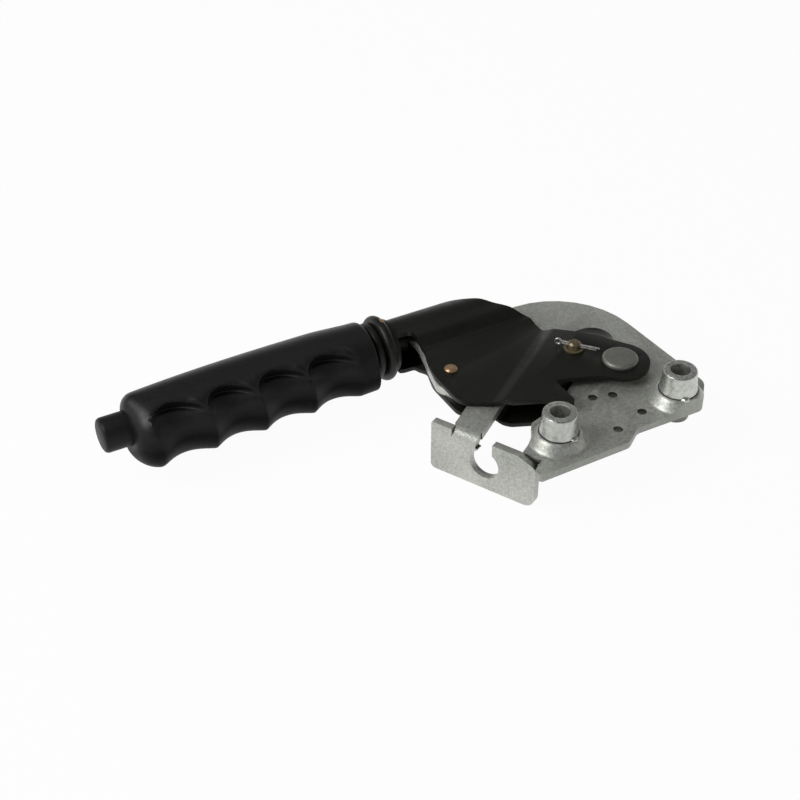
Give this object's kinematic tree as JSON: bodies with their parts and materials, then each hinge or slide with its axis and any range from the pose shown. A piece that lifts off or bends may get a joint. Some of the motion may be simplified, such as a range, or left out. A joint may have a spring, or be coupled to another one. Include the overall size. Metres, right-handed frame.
{
  "type": "parking brake lever",
  "caption": "Parking brake lever with finger grip and end release button, pressed channel on a bolted ratchet plate, pawl, cable pin and slotted cable anchor.",
  "frame": {"origin": "midway between the two mounting bushes, on the plane of their rims", "axes": "+X along the row of bushes and along the handle, from the grip towards the plate; +Z along the pivot, out of the bush rims; +Y from the bushes towards the handle axis"},
  "size_m": [0.2414, 0.125, 0.0407],
  "materials": {
    "zinc_plate": "zinc plated pressing, matt with a fine grain",
    "zinc_bush": "zinc plated turned steel",
    "steel_head": "satin steel with a bright bevel",
    "bare_steel": "bright drawn steel",
    "black_paint": "satin black enamel on pressed steel",
    "black_grip": "satin black moulded grip",
    "brass_rivet": "brass coloured, dull",
    "yellow_zinc": "yellow passivated steel",
    "pawl_steel": "plated blanked steel",
    "black_button": "satin black moulding"
  },
  "bodies": {
    "base": {"base_plate": "zinc_plate", "left_bush": "zinc_bush", "right_bush": "zinc_bush", "pivot_rivet": "steel_head", "upper_spacer": "bare_steel", "lower_spacer": "bare_steel"},
    "lever": {"lever_channel": "black_paint", "handle_tube": "bare_steel", "grip": "black_grip", "grip_collar": "black_paint", "lock_nut": "black_paint", "rod_guide": "black_grip", "spring_seat": "bare_steel", "pawl_rivet": "brass_rivet", "cable_pin": "yellow_zinc", "cable_pin_washer": "yellow_zinc", "split_pin": "bare_steel"},
    "button": {"release_button": "black_button", "push_rod": "bare_steel", "rod_fork": "black_paint", "fork_pin": "bare_steel", "return_spring": "bare_steel"},
    "pawl": {"pawl": "pawl_steel"}
  },
  "joints": [
    {"name": "lever_swing", "type": "hinge", "parent": "base", "child": "lever", "pos_m": [0.0195, 0.028, -0.0167], "axis": [0, 0, -1], "range_deg": [0, 48]},
    {"name": "button_press", "type": "slide", "parent": "lever", "child": "button", "axis": [1, 0, 0], "range_m": [0, 0.008], "stiffness_N_per_m": 1200, "springref_m": -0.006, "deforming": ["return_spring"]},
    {"name": "pawl_release", "type": "hinge", "parent": "lever", "child": "pawl", "pos_m": [-0.04647, 0.06018, -0.0167], "axis": [0, 0, -1], "range_deg": [0, 13.4]}
  ],
  "couplings": [
    {"joint": "pawl_release", "follows": "button_press", "rad_per_m": 29.14}
  ]
}
